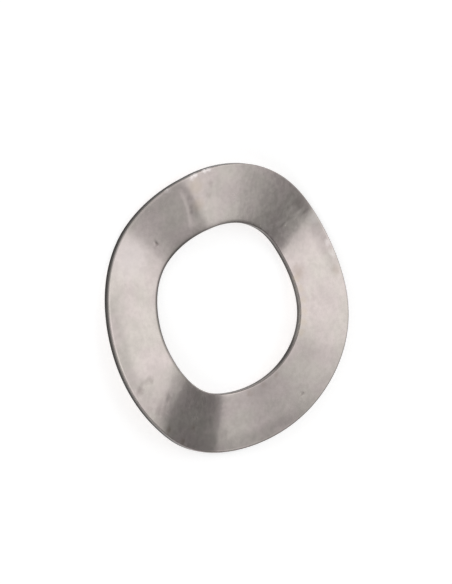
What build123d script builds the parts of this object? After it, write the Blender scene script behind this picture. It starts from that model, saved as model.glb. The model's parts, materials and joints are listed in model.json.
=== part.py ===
from build123d import *
from build123d.topology import SkipClean
from math import cos, pi, radians, sin, sqrt
import os

# Flat ring punched from spring strip, in millimetres
outside_diameter = 22.0
hole_diameter = 13.0
strip_thickness = 0.48

# The punch rolls the upper edges over, at the rim and at the hole, and leaves the lower ones sharp
edge_roll = 0.09

# Waves pressed into the ring: half the rise from trough to crest, at the rim and at the hole
wave_count = 3
rim_wave = 0.68
hole_wave = 0.455

# Shape of one wave, as shares of its height: crests flatter than troughs, one flank steeper
crest_flattening = 0.085
flank_lean = 0.07

# Points that each wave is drawn through, the first of them halfway down a flank
points_per_wave = 12

rim_radius = outside_diameter / 2
hole_radius = hole_diameter / 2
wave_spread = (rim_wave - hole_wave) / (rim_radius - hole_radius)
steps = range(wave_count * points_per_wave)
angles = [2 * pi * (step / points_per_wave + 0.25) / wave_count for step in steps]

# The strip is drawn wider than the ring by this margin, then cut to the ring's walls
cut_margin = strip_thickness

# A wave is one crest arch and one trough arch, which meet halfway down its flanks
arch_count = 2 * wave_count
arch_angle = 360 / arch_count


def wave(angle):
    """Height of the wave at an angle round the axis, as a share of its half rise."""
    turn = wave_count * angle
    return cos(turn) - crest_flattening * cos(2 * turn) + flank_lean * sin(2 * turn)


def wave_slope(angle):
    """Change of the wave's height with the angle."""
    turn = wave_count * angle
    harmonic = 2 * crest_flattening * sin(2 * turn) + 2 * flank_lean * cos(2 * turn)
    return wave_count * (harmonic - sin(turn))


def surface_height(angle, radius, side):
    """Height above mid-wave of the strip's upper (side 1) or lower (side -1) surface.

    The thickness is measured square to the strip, so it is taller where the strip slopes.
    """
    half_rise = hole_wave + wave_spread * (radius - hole_radius)
    slope_round = half_rise * wave_slope(angle) / radius
    slope_out = wave_spread * wave(angle)
    stretch = sqrt(1 + slope_round**2 + slope_out**2)
    return half_rise * wave(angle) + side * stretch * strip_thickness / 2


# The troughs of the rim rest on the ground plane
mid_height = -min(surface_height(radians(degree), rim_radius, -1) for degree in range(360))


def wave_line(radius, side):
    """Closed wavy line round the axis, on the strip's upper or lower surface."""
    heights = [mid_height + surface_height(angle, radius, side) for angle in angles]
    points = [(radius * cos(a), radius * sin(a), z) for a, z in zip(angles, heights)]
    return Spline(*points, periodic=True)


def wavy_strip():
    """Closed ring of strip with its waves, wider than the washer on both edges."""
    inside, outside = hole_radius - cut_margin, rim_radius + cut_margin
    lower_in, upper_in = wave_line(inside, -1), wave_line(inside, 1)
    lower_out, upper_out = wave_line(outside, -1), wave_line(outside, 1)
    pairs = [(lower_in, lower_out), (upper_in, upper_out), (lower_in, upper_in), (lower_out, upper_out)]
    return Solid(Shell([Face.make_surface_from_curves(*pair) for pair in pairs]))


def roll_upper_edges(ring):
    """Ring with its upper edges rounded, where its walls meet the strip's upper surface."""
    walls = ring.faces().filter_by(GeomType.CYLINDER)
    upper_surface = ring.faces().filter_by(GeomType.BSPLINE).sort_by(Axis.Z)[-1]
    return ring.fillet(min(edge_roll, strip_thickness / 2), upper_surface.edges() & walls.edges())


# Blank for one arch, with the straight walls that the punch cuts
blank_height = 2 * (mid_height + strip_thickness)
with BuildPart() as arch_blank:
    with BuildSketch(Plane.XZ.rotated((0, 0, -arch_angle / 2))):
        with Locations(((hole_radius + rim_radius) / 2, mid_height)):
            Rectangle(rim_radius - hole_radius, blank_height)
    revolve(axis=Axis.Z, revolution_arc=arch_angle)

# The arches' wall faces stay apart, so that each can be measured at its own height
with SkipClean():
    with BuildPart() as ring:
        with PolarLocations(0, arch_count):
            add(arch_blank.part)
        add(wavy_strip(), mode=Mode.INTERSECT)
    with BuildPart() as wave_washer:
        add(roll_upper_edges(ring.part.solid()), clean=False)

wave_washer.part.label = "wave_washer"

os.makedirs("parts", exist_ok=True)
export_step(wave_washer.part, "parts/wave_washer.step")
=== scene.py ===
"""Wave spring washer: satin spring steel, lying on a white table under soft studio light."""

import json
from math import cos, pi, radians, sin

import bpy
import numpy as np
from mathutils import Matrix, Vector


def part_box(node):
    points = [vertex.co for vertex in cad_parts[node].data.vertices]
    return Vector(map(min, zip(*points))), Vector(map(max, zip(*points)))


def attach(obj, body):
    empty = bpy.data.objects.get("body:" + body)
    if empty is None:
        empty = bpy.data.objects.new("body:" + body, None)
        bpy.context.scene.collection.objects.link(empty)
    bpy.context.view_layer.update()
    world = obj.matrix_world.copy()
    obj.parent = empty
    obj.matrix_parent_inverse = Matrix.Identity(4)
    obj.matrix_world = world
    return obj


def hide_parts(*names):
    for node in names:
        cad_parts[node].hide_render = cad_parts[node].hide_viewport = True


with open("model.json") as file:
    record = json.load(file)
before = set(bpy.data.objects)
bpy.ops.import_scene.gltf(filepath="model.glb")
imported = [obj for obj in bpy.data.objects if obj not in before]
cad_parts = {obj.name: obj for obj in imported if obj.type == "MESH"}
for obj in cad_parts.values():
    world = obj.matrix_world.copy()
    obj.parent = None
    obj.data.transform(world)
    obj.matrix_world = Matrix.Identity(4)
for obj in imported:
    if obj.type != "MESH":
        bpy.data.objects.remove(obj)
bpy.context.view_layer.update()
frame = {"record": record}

MM = 0.001

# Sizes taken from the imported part
low_corner, high_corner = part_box("wave_washer")
hole = next(mount for mount in frame["record"]["mounts"] if mount["name"] == "hole")
hole_radius = hole["dims"]["r_mm"] * MM
rim_radius = (high_corner.y - low_corner.y) / 2
ring_width = rim_radius - hole_radius

# Strip and waves, as in the CAD source. The waves are a little lower than there, because the
# unevenness and the bends below raise two of the crests, and the washer has to stay near the
# height of the CAD one
strip_thickness = 0.48 * MM
edge_roll = 0.09 * MM
wave_count = 3
rim_wave = 0.641 * MM
hole_wave = 0.432 * MM
crest_flattening = 0.085
flank_lean = 0.07

# How far the pressed ring departs from even waves at its rim: (waves round the ring, cosine, sine).
# At the hole it departs by this share of that
unevenness = [(2, -0.06 * MM, 0.0), (4, 0.0, -0.02 * MM), (5, 0.0, -0.02 * MM)]
unevenness_at_hole = 0.3

# Lines across the strip where the press bent it more sharply than the waves do. Each bend: its bearings
# in degrees at the hole and at the rim, half its width, and the slopes at the hole and at the rim that
# its sides would have if it didn't fade out. It makes a valley where the slope is positive, and a ridge
# where it is negative
bends = [
    (13.0, 19.0, 0.4 * MM, -0.13, -0.13),
    (51.0, 50.0, 0.3 * MM, 0.03, 0.04),
    (118.0, 138.0, 0.85 * MM, -0.19, -0.19),
    (133.4, 138.0, 0.22 * MM, -0.042, 0.0),
    (172.4, 170.6, 0.3 * MM, 0.05, 0.06),
    (301.0, 306.0, 0.25 * MM, 0.045, 0.03),
    (350.0, 351.0, 0.3 * MM, -0.03, -0.03),
]
# A bend is down to about half its height at this distance on each side of its line. The fading leaves
# its sides at most a quarter to two thirds of the slopes above
bend_reach = 1.6 * MM

# The punch leaves a small break on the lower edges
lower_break = 0.02 * MM

# Mesh: divisions round the axis, and along each stretch of the strip's section. Along the upper face
# they crowd towards its edges, by the share edge_crowding
round_steps = 900
face_steps = 48
edge_crowding = 0.6
under_steps = 24
wall_steps = 8
roll_steps = 5
break_steps = 2

# The strip's slopes are measured over this length
slope_step = 0.01 * MM

# How often the ring is set down on its troughs, and at how many places round a trough it is measured
settling_rounds = 3
trough_steps = 200


def even_wave(angle):
    """Height of the wave at an angle round the axis, as a share of its half rise."""
    turn = wave_count * angle
    return np.cos(turn) - crest_flattening * np.cos(2 * turn) + flank_lean * np.sin(2 * turn)


def turn_from(angle, bearing):
    """Angle from a bearing in radians, the short way round."""
    return (angle - bearing + pi) % (2 * pi) - pi


def middle_height(angle, radius):
    """Height of the strip's middle, before the ring is set down on its troughs."""
    outward = (radius - hole_radius) / ring_width
    half_rise = hole_wave + (rim_wave - hole_wave) * outward
    height = half_rise * even_wave(angle)
    share = unevenness_at_hole + (1 - unevenness_at_hole) * outward
    for waves, cosine, sine in unevenness:
        height = height + share * (cosine * np.cos(waves * angle) + sine * np.sin(waves * angle))
    for at_hole, at_rim, half_width, slope_at_hole, slope_at_rim in bends:
        line = radians(at_hole) + radians(at_rim - at_hole) * outward
        across = radius * turn_from(angle, line)
        slope = slope_at_hole + (slope_at_rim - slope_at_hole) * outward
        height = height + slope * (np.hypot(across, half_width) - np.hypot(across, bend_reach))
    return height


def surface_height(angle, radius, side):
    """Height of the strip's upper (side 1) or lower (side -1) surface.

    It is half a thickness from the strip's middle. The thickness is measured square to the strip, so it
    is taller where the strip slopes.
    """
    middle = middle_height(angle, radius)
    slope_round = (middle_height(angle + slope_step / radius, radius) - middle) / slope_step
    slope_out = (middle_height(angle, radius + slope_step) - middle) / slope_step
    stretch = np.sqrt(1 + slope_round**2 + slope_out**2)
    return middle + side * stretch * strip_thickness / 2


def resting_plane():
    """Plane under the three troughs: its slopes along X and Y, and its height at the axis.

    The lowest points move a little as the plane tilts, so they are looked for again on each new plane.
    """
    trough_reach = pi / (2 * wave_count)
    plane = np.zeros(3)
    for settling in range(settling_rounds):
        contacts = []
        for trough in range(wave_count):
            middle = (2 * trough + 1) * pi / wave_count
            angle = np.linspace(middle - trough_reach, middle + trough_reach, trough_steps)
            x, y = rim_radius * np.cos(angle), rim_radius * np.sin(angle)
            z = surface_height(angle, rim_radius, -1)
            lowest = np.argmin(z - plane[0] * x - plane[1] * y)
            contacts.append((x[lowest], y[lowest], z[lowest]))
        x, y, z = np.array(contacts).T
        plane = np.linalg.solve(np.stack([x, y, np.ones(wave_count)], 1), z)
    return plane


# The upper face sinks towards the hole. At its width from the hole, the sink is down to about a third.
# The punch went in a little off the axis, so the sink is deepest at one bearing
sink_depth = 0.032 * MM
sink_uneven = 0.033 * MM
sink_bearing = 65.0
sink_least = 0.005 * MM
sink_width = 0.17 * MM

# A groove runs across the upper face beside the first crest: a long slope down and a short one up. Its
# bearings in degrees are those at the hole and at the rim
groove_at_hole, groove_at_rim = 25.7, 21.2
groove_depth = 0.028 * MM
groove_fall = 0.7 * MM
groove_rise = 0.34 * MM

# Stretches in which the groove turns, deepens, thins out by a share and ends, as shares of the way from
# the hole to the rim. It starts to thin out before it has its full depth, and reaches five sixths of it
groove_turns = (0.0, 0.5)
groove_deepens = (0.15, 0.4)
groove_thins = (0.3, 0.5)
groove_thinning = 0.5
groove_ends = (0.75, 0.95)

# Small dents: (bearing in degrees, distance from the axis, half length, half width, turn, depth).
# A dent at turn 0 is as long as its half length says along the ring, at turn 90 it points at the axis
dents = [
    (45.6, 8.3 * MM, 0.18 * MM, 0.09 * MM, 100.0, 0.018 * MM),
    (48.6, 8.2 * MM, 0.12 * MM, 0.1 * MM, 60.0, 0.004 * MM),
    (116.2, 9.3 * MM, 0.5 * MM, 0.2 * MM, 90.0, 0.009 * MM),
    (117.5, 10.25 * MM, 0.4 * MM, 0.16 * MM, 60.0, 0.009 * MM),
    (122.0, 9.6 * MM, 0.6 * MM, 0.2 * MM, 60.0, 0.006 * MM),
    (131.0, 8.85 * MM, 0.4 * MM, 0.16 * MM, 60.0, 0.01 * MM),
    (130.5, 9.8 * MM, 0.6 * MM, 0.2 * MM, 60.0, 0.008 * MM),
    (218.9, 9.59 * MM, 0.12 * MM, 0.09 * MM, 20.0, 0.01 * MM),
    (306.5, 10.3 * MM, 0.5 * MM, 0.15 * MM, 110.0, 0.006 * MM),
    (310.3, 9.9 * MM, 0.4 * MM, 0.13 * MM, 105.0, 0.006 * MM),
    (311.1, 8.9 * MM, 0.35 * MM, 0.12 * MM, 129.0, 0.005 * MM),
    (312.8, 8.2 * MM, 0.5 * MM, 0.12 * MM, 99.0, 0.005 * MM),
    (316.0, 9.3 * MM, 0.6 * MM, 0.2 * MM, 118.0, 0.006 * MM),
    (14.4, 10.95 * MM, 0.35 * MM, 0.12 * MM, 0.0, 0.014 * MM),
    (8.0, 10.97 * MM, 0.4 * MM, 0.1 * MM, 0.0, 0.014 * MM),
]


def smooth_step(value, start, end):
    """Smooth rise from 0 at the start to 1 at the end."""
    share = np.clip((value - start) / (end - start), 0, 1)
    return share * share * (3 - 2 * share)


def press_marks(angle, radius):
    """How far the sink, the groove and the dents lower the upper face, as a height below zero."""
    sink = np.maximum(sink_depth + sink_uneven * np.cos(angle - radians(sink_bearing)), sink_least)
    depth = sink * np.exp((hole_radius - radius) / sink_width)

    outward = (radius - hole_radius) / ring_width
    turned = smooth_step(outward, *groove_turns)
    line = radians(groove_at_hole) + radians(groove_at_rim - groove_at_hole) * turned
    across = radius * turn_from(angle, line)
    falling, rising = smooth_step(across, -groove_fall, 0), 1 - smooth_step(across, 0, groove_rise)
    groove = groove_depth * smooth_step(outward, *groove_deepens)
    groove = groove * (1 - groove_thinning * smooth_step(outward, *groove_thins))
    groove = groove * (1 - smooth_step(outward, *groove_ends))
    depth = depth + groove * np.where(across < 0, falling, rising)

    for bearing, distance, half_length, half_width, turn, dent_depth in dents:
        round_way, outward_way = radius * turn_from(angle, radians(bearing)), radius - distance
        along = (round_way * cos(radians(turn)) + outward_way * sin(radians(turn))) / half_length
        aside = (outward_way * cos(radians(turn)) - round_way * sin(radians(turn))) / half_width
        depth = depth + dent_depth * np.exp(-along**2 - aside**2)
    return -depth


def strip_section():
    """Points round the strip's section: radius, upper share, rise above that height, 1 if on a wall.

    The upper share is 1 on the upper surface, 0 on the lower one, and between them on the walls.
    """
    points = []
    quarter = np.linspace(0, pi / 2, roll_steps + 1)[:-1]
    small_quarter = np.linspace(0, pi / 2, break_steps + 1)[:-1]
    wall = np.linspace(0, 1, wall_steps + 1)[:-1]
    # Up the hole's wall, over its rolled edge and out along the upper face
    for share in wall:
        points.append((hole_radius, share, lower_break * (1 - share) - edge_roll * share, 1))
    for turn in quarter:
        points.append((hole_radius + edge_roll * (1 - cos(turn)), 1, -edge_roll * (1 - sin(turn)), 0))
    # The steps are finer near the edges than in the middle of the strip
    shares = np.linspace(0, 1, face_steps + 1)[:-1]
    shares = shares - edge_crowding * np.sin(2 * pi * shares) / (2 * pi)
    for radius in hole_radius + edge_roll + (ring_width - 2 * edge_roll) * shares:
        points.append((radius, 1, 0, 0))
    # Over the rim's rolled edge, down its wall and back along the lower face
    for turn in quarter:
        points.append((rim_radius - edge_roll * (1 - sin(turn)), 1, -edge_roll * (1 - cos(turn)), 0))
    for share in wall:
        points.append((rim_radius, 1 - share, lower_break * share - edge_roll * (1 - share), 1))
    for turn in small_quarter:
        points.append((rim_radius - lower_break * (1 - cos(turn)), 0, lower_break * (1 - sin(turn)), 0))
    under = np.linspace(rim_radius - lower_break, hole_radius + lower_break, under_steps + 1)[:-1]
    for radius in under:
        points.append((radius, 0, 0, 0))
    for turn in small_quarter:
        points.append((hole_radius + lower_break * (1 - sin(turn)), 0, lower_break * (1 - cos(turn)), 0))
    return np.array(points).T


def build_washer():
    """The washer as one mesh: its section at each bearing, with the walls on the second material."""
    radius, upper_share, rise, on_wall = (row[None, :] for row in strip_section())
    angle = np.linspace(0, 2 * pi, round_steps, endpoint=False)[:, None]
    x, y = radius * np.cos(angle), radius * np.sin(angle)
    slope_x, slope_y, level = resting_plane()
    upper = surface_height(angle, radius, 1) + press_marks(angle, radius)
    lower = surface_height(angle, radius, -1)
    z = upper_share * upper + (1 - upper_share) * lower + rise - slope_x * x - slope_y * y - level
    points = np.stack([x, y, z], -1)
    rings, section = points.shape[:2]

    here = np.arange(rings * section).reshape(rings, section)
    ahead = np.roll(here, -1, 0)
    quads = np.stack([here, ahead, np.roll(ahead, -1, 1), np.roll(here, -1, 1)], -1)
    mesh = bpy.data.meshes.new("washer")
    mesh.from_pydata(points.reshape(-1, 3).tolist(), [], quads.reshape(-1, 4).tolist())
    mesh.polygons.foreach_set("use_smooth", np.ones(rings * section, bool))
    mesh.polygons.foreach_set("material_index", np.repeat(on_wall, rings, 0).astype(np.int32).ravel())
    wall_height = mesh.attributes.new("wall_height", "FLOAT", "POINT")
    wall_height.data.foreach_set("value", np.repeat(upper_share, rings, 0).astype(np.float32).ravel())
    mesh.update()
    piece = bpy.data.objects.new("washer", mesh)
    bpy.context.scene.collection.objects.link(piece)
    return piece


class NodeBook:
    """Short way to write a node tree."""

    def __init__(self, tree):
        self.tree = tree
        tree.nodes.clear()

    def add(self, kind, inputs=None, **settings):
        """New node of a kind, with its inputs set or linked."""
        node = self.tree.nodes.new("ShaderNode" + kind)
        for name, value in settings.items():
            setattr(node, name, value)
        for name, value in (inputs or {}).items():
            self.put(node.inputs[name], value)
        return node

    def put(self, socket, value):
        if isinstance(value, bpy.types.NodeSocket):
            self.tree.links.new(value, socket)
        else:
            socket.default_value = value

    def math(self, operation, first, second=0.0, third=0.0):
        return self.add("Math", {0: first, 1: second, 2: third}, operation=operation).outputs[0]

    def vector(self, operation, first, second=(0, 0, 0), output="Vector"):
        return self.add("VectorMath", {0: first, 1: second}, operation=operation).outputs[output]

    def noise(self, place, size, detail=2.0, roughness=0.5):
        """Noise from about 0.2 to 0.8, with patches of the given size in metres."""
        inputs = {"Vector": place, "Scale": 1 / size, "Detail": detail, "Roughness": roughness}
        return self.add("TexNoise", inputs).outputs["Fac"]

    def remap(self, value, start, end, low=0.0, high=1.0, shape="SMOOTHSTEP"):
        """Value that goes from low to high while the given one goes from start to end."""
        inputs = {"Value": value, "From Min": start, "From Max": end, "To Min": low, "To Max": high}
        return self.add("MapRange", inputs, interpolation_type=shape).outputs["Result"]

    def blend(self, share, first, second, way="MIX"):
        """Mix of two colours, with this share of the second."""
        node = self.add("Mix", {0: share}, data_type="RGBA", blend_type=way)
        self.put(node.inputs[6], first)
        self.put(node.inputs[7], second)
        return node.outputs[2]


def new_material(name):
    """Material with an empty node tree, and the book to write it with."""
    material = bpy.data.materials.new(name)
    material.use_nodes = True
    return material, NodeBook(material.node_tree)


def finish_steel(book, colour, roughness, relief, relief_strength, relief_depth):
    """Ends a metal's node tree with its surface and a fine relief."""
    inputs = {"Height": relief, "Strength": relief_strength, "Distance": relief_depth}
    normal = book.add("Bump", inputs).outputs["Normal"]
    steel = book.add("BsdfPrincipled", {
        "Base Color": colour, "Metallic": 1.0, "Roughness": roughness, "Normal": normal,
    })
    book.add("OutputMaterial", {"Surface": steel.outputs["BSDF"]})


def on_ground(book, place):
    """A place with its height left out."""
    return book.vector("MULTIPLY", place, (1, 1, 0))


def from_axis(book, place):
    """Distance of a place from the washer's axis."""
    return book.vector("LENGTH", on_ground(book, place), output="Value")


def along_ring(book, place, stretches):
    """How strongly stretches of the ring cover each place, from 0 up to their strength in the middle.

    Each stretch: bearing of its middle, half its length in degrees, strength.
    """
    outward = book.vector("NORMALIZE", on_ground(book, place))
    total = 0.0
    for bearing, reach, strength in stretches:
        middle = (cos(radians(bearing)), sin(radians(bearing)), 0)
        nearness = book.vector("DOT_PRODUCT", outward, middle, "Value")
        covered = book.remap(nearness, cos(radians(reach)), 1.0, 0.0, strength)
        total = book.math("MAXIMUM", total, covered)
    return total


# The middle of a noise, and the range that most of it lies in
noise_middle = 0.5
noise_range = (0.3, 0.7)

# Spots on the face, in order of bearing: (bearing in degrees, distance from the axis, size, strength)
rust_spots = [
    (140.5, 10.55 * MM, 0.45 * MM, 0.38),
    (150.5, 10.65 * MM, 0.4 * MM, 0.4),
    (154.0, 9.4 * MM, 0.4 * MM, 0.35),
    (192.5, 6.9 * MM, 0.4 * MM, 0.24),
    (203.0, 6.85 * MM, 0.35 * MM, 0.2),
    (214.0, 6.8 * MM, 0.3 * MM, 0.2),
    (277.6, 10.45 * MM, 0.6 * MM, 0.24),
    (284.3, 7.15 * MM, 0.85 * MM, 0.32),
]
dark_spots = [
    (7.5, 9.8 * MM, 0.4 * MM, 0.2),
    (9.5, 9.0 * MM, 0.4 * MM, 0.16),
    (18.0, 7.05 * MM, 0.7 * MM, 0.16),
    (19.3, 9.5 * MM, 0.4 * MM, 0.14),
    (20.6, 8.75 * MM, 0.3 * MM, 0.28),
    (21.4, 8.45 * MM, 0.3 * MM, 0.28),
    (22.8, 7.0 * MM, 0.5 * MM, 0.22),
    (45.6, 8.3 * MM, 0.22 * MM, 0.6),
    (115.5, 9.8 * MM, 0.4 * MM, 0.16),
    (116.3, 9.4 * MM, 0.4 * MM, 0.26),
    (117.0, 9.1 * MM, 0.5 * MM, 0.34),
    (117.5, 10.3 * MM, 0.5 * MM, 0.3),
    (121.0, 8.8 * MM, 1.3 * MM, 0.12),
    (126.5, 10.5 * MM, 0.6 * MM, 0.16),
    (127.5, 9.4 * MM, 1.8 * MM, 0.11),
    (128.0, 9.3 * MM, 0.8 * MM, 0.16),
    (128.5, 8.8 * MM, 0.7 * MM, 0.14),
    (131.0, 8.8 * MM, 0.5 * MM, 0.3),
    (131.5, 9.9 * MM, 0.8 * MM, 0.3),
    (132.0, 6.95 * MM, 0.7 * MM, 0.2),
    (133.5, 10.5 * MM, 0.8 * MM, 0.18),
    (174.5, 9.6 * MM, 0.6 * MM, 0.18),
    (218.9, 9.6 * MM, 0.24 * MM, 0.4),
    (238.0, 7.6 * MM, 2.2 * MM, 0.12),
    (267.5, 7.8 * MM, 0.4 * MM, 0.14),
    (287.2, 10.15 * MM, 0.45 * MM, 0.14),
    (291.7, 10.5 * MM, 0.4 * MM, 0.16),
    (306.5, 6.95 * MM, 0.7 * MM, 0.2),
    (306.5, 10.3 * MM, 0.5 * MM, 0.22),
    (312.5, 10.3 * MM, 0.7 * MM, 0.28),
]
# Painted highlights: glints on small nicks along the rim's edge, and a lighter patch on the flank at 58
# degrees. The rest are pale patches near the rim and the hole
highlight_and_pale_spots = [
    (7.2, 10.92 * MM, 0.3 * MM, 0.7),
    (9.0, 10.92 * MM, 0.3 * MM, 0.8),
    (13.8, 10.9 * MM, 0.3 * MM, 0.8),
    (15.4, 10.84 * MM, 0.3 * MM, 0.6),
    (27.0, 10.88 * MM, 0.3 * MM, 0.4),
    (58.0, 9.7 * MM, 2.4 * MM, 0.25),
    (284.5, 10.7 * MM, 0.45 * MM, 0.3),
    (289.5, 10.72 * MM, 0.45 * MM, 0.35),
    (302.0, 10.65 * MM, 0.8 * MM, 0.3),
    (325.5, 6.95 * MM, 0.7 * MM, 0.2),
]
# Yellow tarnish near the groove, and in a line along the hole's edge
tarnish_spots = [(16.5, 8.7 * MM, 0.8 * MM, 0.4), (15.0, 10.05 * MM, 1.0 * MM, 0.4)]
tarnish_spots += [(bearing, 6.78 * MM, 0.5 * MM, 0.4) for bearing in range(246, 288, 7)]
rust_tone = (0.33, 0.24, 0.175, 1)
tarnish_tone = (0.62, 0.53, 0.42, 1)
dark_tone = (0.2, 0.158, 0.15, 1)
highlight_and_pale_tone = (0.93, 0.88, 0.87, 1)

# Each kind of spot with its tone, the painted highlights last. The later ones cover the earlier ones
stains_and_highlights = [
    (tarnish_spots, tarnish_tone),
    (rust_spots, rust_tone),
    (dark_spots, dark_tone),
    (highlight_and_pale_spots, highlight_and_pale_tone),
]

# How far a spot's outline wanders, over which length, and the share of its size in which it is full
spot_wander = 0.4 * MM
spot_wander_length = 0.3 * MM
spot_core = 0.1


def spotted(book, place, spots):
    """How strongly each place is covered by the spots, from 0 to 1. The spots have ragged outlines."""
    inputs = {"Vector": place, "Scale": 1 / spot_wander_length, "Detail": 1.0}
    wander = book.add("TexNoise", inputs).outputs["Color"]
    shift = book.vector("SUBTRACT", wander, (noise_middle, noise_middle, noise_middle))
    shift = book.vector("MULTIPLY", shift, (spot_wander, spot_wander, 0))
    moved = book.vector("ADD", on_ground(book, place), shift)
    total = 0.0
    for bearing, distance, size, strength in spots:
        centre = (distance * cos(radians(bearing)), distance * sin(radians(bearing)), 0)
        gap = book.vector("DISTANCE", moved, centre, "Value")
        covered = book.remap(gap, spot_core * size, size, strength, 0.0)
        total = book.math("MAXIMUM", total, covered)
    return total


# The face is a little darker in a band inside the rim, in patches. The band shows in four stretches
band_start, band_full, band_end = 9.3 * MM, 10.5 * MM, 10.88 * MM
band_fade = 0.12 * MM
band_patch_size = 1.5 * MM
band_patch_range = (0.35, 0.6)
band_patch_least = 0.6
band_stretches = [(37.0, 18.0, 0.4), (98.0, 28.0, 1.1), (190.0, 45.0, 1.0), (300.0, 26.0, 0.9)]
band_shade = 0.76

# The rolled edges of the rim and the hole carry painted shade, which darkens the bright reflections on
# their curves. The rim is duller in one stretch, and the painted shade on the hole's edge reaches
# further out in two stretches, the wider one on the side where the punch went deeper. Each tone starts,
# and is full, at these distances from the rim or the hole
edge_shade = 0.35
rim_edge_start, rim_edge_full = 0.055 * MM, 0.01 * MM
hole_edge_start, hole_edge_full = 0.07 * MM, 0.03 * MM
dull_rim_stretches = [(225.0, 70.0, 1.0)]
dull_rim_start, dull_rim_full = 0.18 * MM, 0.08 * MM
dull_rim_shade = 0.78
wide_hole_shade_stretches = [(75.0, 62.0, 1.0), (347.0, 22.0, 0.5)]
wide_hole_shade_start, wide_hole_shade_full = 0.33 * MM, 0.15 * MM
wide_hole_shade = 0.42


def darkening(book, share, shade):
    """Factor that falls from 1 to the shade while the share goes from 0 to 1."""
    return book.remap(share, 0.0, 1.0, 1.0, shade, "LINEAR")


def edge_tone(book, place):
    """Factor that darkens the band inside the rim, and paints shade on the edges of the rim and the
    hole.
    """
    distance = from_axis(book, place)
    band = book.remap(distance, band_start, band_full)
    band = book.math("MULTIPLY", band, book.remap(distance, band_end, band_end - band_fade))
    patches = book.noise(place, band_patch_size)
    patches = book.remap(patches, *band_patch_range, band_patch_least, 1.0)
    patches = book.math("MULTIPLY", patches, along_ring(book, place, band_stretches))
    band = darkening(book, book.math("MULTIPLY", band, patches), band_shade)

    # Painted shade on the rim's rolled edge
    start, full = rim_radius - rim_edge_start, rim_radius - rim_edge_full
    rim_edge = book.remap(distance, start, full, 1.0, edge_shade)
    dull = book.remap(distance, rim_radius - dull_rim_start, rim_radius - dull_rim_full)
    dull = book.math("MULTIPLY", dull, along_ring(book, place, dull_rim_stretches))
    at_rim = book.math("MULTIPLY", rim_edge, darkening(book, dull, dull_rim_shade))

    # Painted shade that reaches further out from the hole's edge in two stretches
    wide_hole_share = book.remap(distance, hole_radius + wide_hole_shade_start, hole_radius + wide_hole_shade_full)
    wide_hole_share = book.math("MULTIPLY", wide_hole_share, along_ring(book, place, wide_hole_shade_stretches))
    # Painted shade on the hole's rolled edge
    start, full = hole_radius + hole_edge_start, hole_radius + hole_edge_full
    hole_edge = book.remap(distance, start, full, 1.0, edge_shade)
    at_hole = book.math("MULTIPLY", darkening(book, wide_hole_share, wide_hole_shade), hole_edge)
    return book.math("MULTIPLY", band, book.math("MULTIPLY", at_rim, at_hole))


# Faint clouds on the face: their size, and how their tone and roughness go from low to high
cloud_size = 1.6 * MM
cloud_tone = (0.96, 1.035)
cloud_roughness = (0.26, 0.225)

# The steel's tint changes between two colours, in patches moved aside from the clouds
tint_size = 2.2 * MM
tint_shift = (13 * MM, 7 * MM, 0)
tint_range = (0.35, 0.65)
pink_steel = (0.66, 0.586, 0.566, 1)
yellow_steel = (0.642, 0.592, 0.552, 1)

# Fine mottling, stronger in one stretch of the ring and weaker in another
mottle_size = 0.4 * MM
mottle_tone = (0.955, 1.04)
mottle_roughness = (-0.02, 0.02)
rough_stretches = [(325.0, 35.0, 0.7)]
calm_stretches = [(153.0, 24.0, 0.25)]

# The face's relief is its mottling with a little grain
grain_size = 0.09 * MM
grain_share = 0.12
face_relief_strength = 0.3
face_relief_depth = 0.004 * MM


def face_steel():
    """Upper and lower faces: satin, tumbled spring steel with faint cloudy patches and a few stains."""
    material, book = new_material("spring_steel")
    place = book.add("TexCoord").outputs["Object"]
    clouds = book.noise(place, cloud_size, detail=3.0, roughness=0.6)
    tint = book.noise(book.vector("ADD", place, tint_shift), tint_size)
    mottle = book.noise(place, mottle_size, detail=3.0, roughness=0.6)
    rough = along_ring(book, place, rough_stretches)
    calm = along_ring(book, place, calm_stretches)
    contrast = book.math("ADD", book.math("SUBTRACT", rough, calm), 1.0)
    swing = book.math("SUBTRACT", mottle, noise_middle)
    mottle = book.math("MULTIPLY_ADD", swing, contrast, noise_middle)
    grain = book.noise(place, grain_size)

    colour = book.blend(book.remap(tint, *tint_range), pink_steel, yellow_steel)
    cloud_shade = book.remap(clouds, *noise_range, *cloud_tone)
    mottle_shade = book.remap(mottle, *noise_range, *mottle_tone)
    shade = book.math("MULTIPLY", cloud_shade, mottle_shade)
    # Painted shade at the edges of the rim and the hole
    shade = book.math("MULTIPLY", shade, edge_tone(book, place))
    grey = book.add("CombineColor", {0: shade, 1: shade, 2: shade}).outputs[0]
    colour = book.blend(1.0, colour, grey, "MULTIPLY")
    # Stains, and last the painted highlights
    for spots, tone in stains_and_highlights:
        colour = book.blend(spotted(book, place, spots), colour, tone)

    rough_clouds = book.remap(clouds, *noise_range, *cloud_roughness)
    rough_mottle = book.remap(mottle, *noise_range, *mottle_roughness)
    roughness = book.math("ADD", rough_clouds, rough_mottle)
    relief = book.math("ADD", book.math("MULTIPLY", grain, grain_share), mottle)
    finish_steel(book, colour, roughness, relief, face_relief_strength, face_relief_depth)
    return material


# The walls are smooth above and torn below a wavy line: the size of its waves, how far they go up and
# down as a share of the wall, and the heights between which the tearing ends
tear_wave_size = 1.0 * MM
tear_wave = 0.3
torn_below, smooth_above = 0.6, 0.85

# Upright streaks, drawn out along Z by scaling their places, and pits in the torn part
streak_size = 0.05 * MM
streak_scale = (1, 1, 0.12)
streak_cover = 0.4
pit_size = 0.06 * MM

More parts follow.
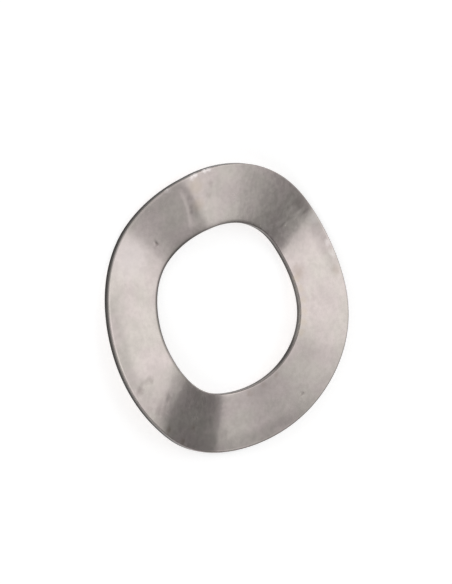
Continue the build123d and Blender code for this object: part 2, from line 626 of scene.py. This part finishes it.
# Colours of the walls, and the stretches in which the hole's wall is darker. The walls' dark tone is
# partly the sheared steel's own, but the rim's wall is painted far darker than the hole's: painted shade
# that darkens the white table mirrored in it
smooth_hole_wall = (0.27, 0.25, 0.235, 1)
torn_hole_wall = (0.17, 0.155, 0.145, 1)
shaded_smooth_rim_wall = (0.11, 0.102, 0.096, 1)
shaded_torn_rim_wall = (0.06, 0.055, 0.051, 1)
dark_wall_tone = (0.07, 0.064, 0.06, 1)
dark_wall_stretches = [(228.0, 16.0, 0.85), (308.0, 35.0, 0.6)]

smooth_wall_roughness, torn_wall_roughness = 0.4, 0.6
wall_relief_strength = 0.6
wall_relief_depth = 0.012 * MM


def edge_steel():
    """Punched walls of the rim and the hole: smooth and lighter above, torn and darker below."""
    material, book = new_material("sheared_edge")
    place = book.add("TexCoord").outputs["Object"]
    height = book.add("Attribute", attribute_name="wall_height").outputs["Fac"]
    waves = book.math("MULTIPLY", book.noise(place, tear_wave_size), tear_wave)
    torn = book.remap(book.math("ADD", height, waves), torn_below, smooth_above, 1.0, 0.0)
    streaks = book.noise(book.vector("MULTIPLY", place, streak_scale), streak_size)
    pits = book.noise(place, pit_size, detail=3.0, roughness=0.65)

    hole_wall = book.blend(torn, smooth_hole_wall, torn_hole_wall)
    hole_wall = book.blend(along_ring(book, place, dark_wall_stretches), hole_wall, dark_wall_tone)
    # Painted shade: the rim's wall is far darker than the hole's
    shaded_rim_wall = book.blend(torn, shaded_smooth_rim_wall, shaded_torn_rim_wall)
    at_rim = book.remap(from_axis(book, place), hole_radius, rim_radius, shape="LINEAR")
    colour = book.blend(at_rim, hole_wall, shaded_rim_wall)
    colour = book.blend(book.remap(streaks, *noise_range, 0.0, streak_cover), colour, dark_wall_tone)

    roughness = book.remap(torn, 0.0, 1.0, smooth_wall_roughness, torn_wall_roughness, "LINEAR")
    relief = book.math("ADD", streaks, book.math("MULTIPLY", pits, torn))
    finish_steel(book, colour, roughness, relief, wall_relief_strength, wall_relief_depth)
    return material


# White table that curves up into a low backdrop, far from the washer, in metres
table_radius = 1.5
backdrop_curve = 0.2
backdrop_height = 0.35
table_sides = 96
curve_steps = 8

# The table's grey, and the glow that it has where it is seen or mirrored
table_colour = 0.7
seen_glow = 0.58


def build_table():
    """Pale table and backdrop. They are seen as white, and the table keeps the washer's shadow."""
    profile = []
    for turn in np.linspace(0, pi / 2, curve_steps + 1):
        profile.append((table_radius + backdrop_curve * sin(turn), backdrop_curve * (1 - cos(turn))))
    profile.append((table_radius + backdrop_curve, backdrop_height))
    points = [(0, 0, 0)]
    for radius, height in profile:
        for side in range(table_sides):
            bearing = 2 * pi * side / table_sides
            points.append((radius * cos(bearing), radius * sin(bearing), height))
    faces = [(0, 1 + side, 1 + (side + 1) % table_sides) for side in range(table_sides)]
    for ring in range(len(profile) - 1):
        first = 1 + ring * table_sides
        for side in range(table_sides):
            near, after = first + side, first + (side + 1) % table_sides
            faces.append((near, near + table_sides, after + table_sides, after))
    mesh = bpy.data.meshes.new("table")
    mesh.from_pydata(points, [], faces)
    mesh.shade_smooth()
    table = bpy.data.objects.new("table", mesh)
    bpy.context.scene.collection.objects.link(table)

    material, book = new_material("table")
    ray = book.add("LightPath")
    seen = book.math("MAXIMUM", ray.outputs["Is Camera Ray"], ray.outputs["Is Glossy Ray"])
    seen = book.math("MAXIMUM", seen, ray.outputs["Is Transmission Ray"])
    grey = (table_colour, table_colour, table_colour, 1)
    paint = book.add("BsdfDiffuse", {"Color": grey}).outputs["BSDF"]
    glow_strength = book.math("MULTIPLY", seen, seen_glow)
    glow = book.add("Emission", {"Strength": glow_strength}).outputs["Emission"]
    both = book.add("AddShader", {0: paint, 1: glow}).outputs["Shader"]
    book.add("OutputMaterial", {"Surface": both})
    mesh.materials.append(material)


# Studio light by direction: a dim dome, and in it a large soft key light above and beyond the washer, a
# white surround on the camera's side, and a pale horizon. Each light: centre, full within this angle in
# degrees, gone beyond this angle, strength. Where lights overlap, the stronger one shows
dome_light = 0.098
studio_lights = [
    ((0.165, -0.512, 1.0), 6.8, 50.8, 1.12),
    ((0.156, 0.581, -0.799), 110.0, 135.0, 1.0),
    ((0.0, 0.0, -1.0), 98.0, 120.0, 0.6),
]


def build_studio_light():
    """World light that shines by direction alone."""
    world = bpy.data.worlds.new("studio")
    world.use_nodes = True
    book = NodeBook(world.node_tree)
    direction = book.add("TexCoord").outputs["Generated"]
    strength = dome_light
    for centre, full, gone, light in studio_lights:
        towards = book.vector("DOT_PRODUCT", direction, Vector(centre).normalized(), "Value")
        angle = book.math("ARCCOSINE", towards)
        shining = book.remap(angle, radians(full), radians(gone), light, 0.0)
        strength = book.math("MAXIMUM", strength, shining)
    sky = book.add("Background", {"Color": (1, 1, 1, 1), "Strength": strength})
    book.add("OutputWorld", {"Surface": sky.outputs["Background"]})
    bpy.context.scene.world = world


# Camera, measured in the photo: its bearing from +X, its height above the table and its roll, in
# degrees, and its distance from the washer
camera_bearing = 74.87
camera_elevation = 53.37
camera_roll = 98.05
camera_distance = 404 * MM
camera_clip = camera_distance / 100
sensor_size = 36.0

# The photo's size in pixels, its scale at the washer, and the washer's middle, from the top left
photo_width, photo_height = 452, 584
pixels_per_mm = 13.273
washer_centre_x, washer_centre_y = 227.34, 308.4


def build_camera():
    """Camera that sees the washer where the photo shows it."""
    bearing, elevation, roll = radians(camera_bearing), radians(camera_elevation), radians(camera_roll)
    back = Vector((cos(elevation) * cos(bearing), cos(elevation) * sin(bearing), sin(elevation)))
    level_right = Vector((-sin(bearing), cos(bearing), 0))
    level_up = back.cross(level_right)
    right = level_right * cos(roll) + level_up * sin(roll)
    up = back.cross(right)
    pixel = MM / pixels_per_mm
    aim = Vector((0, 0, (low_corner.z + high_corner.z) / 2))
    aim += right * (photo_width / 2 - washer_centre_x) * pixel
    aim -= up * (photo_height / 2 - washer_centre_y) * pixel
    camera = bpy.data.objects.new("camera", bpy.data.cameras.new("camera"))
    turned = Matrix((right, up, back)).transposed().to_4x4()
    camera.matrix_world = Matrix.Translation(aim + back * camera_distance) @ turned
    camera.data.sensor_width = sensor_size
    camera.data.lens = sensor_size * camera_distance / (photo_height * pixel)
    camera.data.clip_start = camera_clip
    bpy.context.scene.collection.objects.link(camera)
    bpy.context.scene.camera = camera


washer = build_washer()
washer.data.materials.append(face_steel())
washer.data.materials.append(edge_steel())
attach(washer, "root")
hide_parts("wave_washer")

build_table()
build_studio_light()
build_camera()
bpy.context.scene.view_settings.view_transform = "Standard"
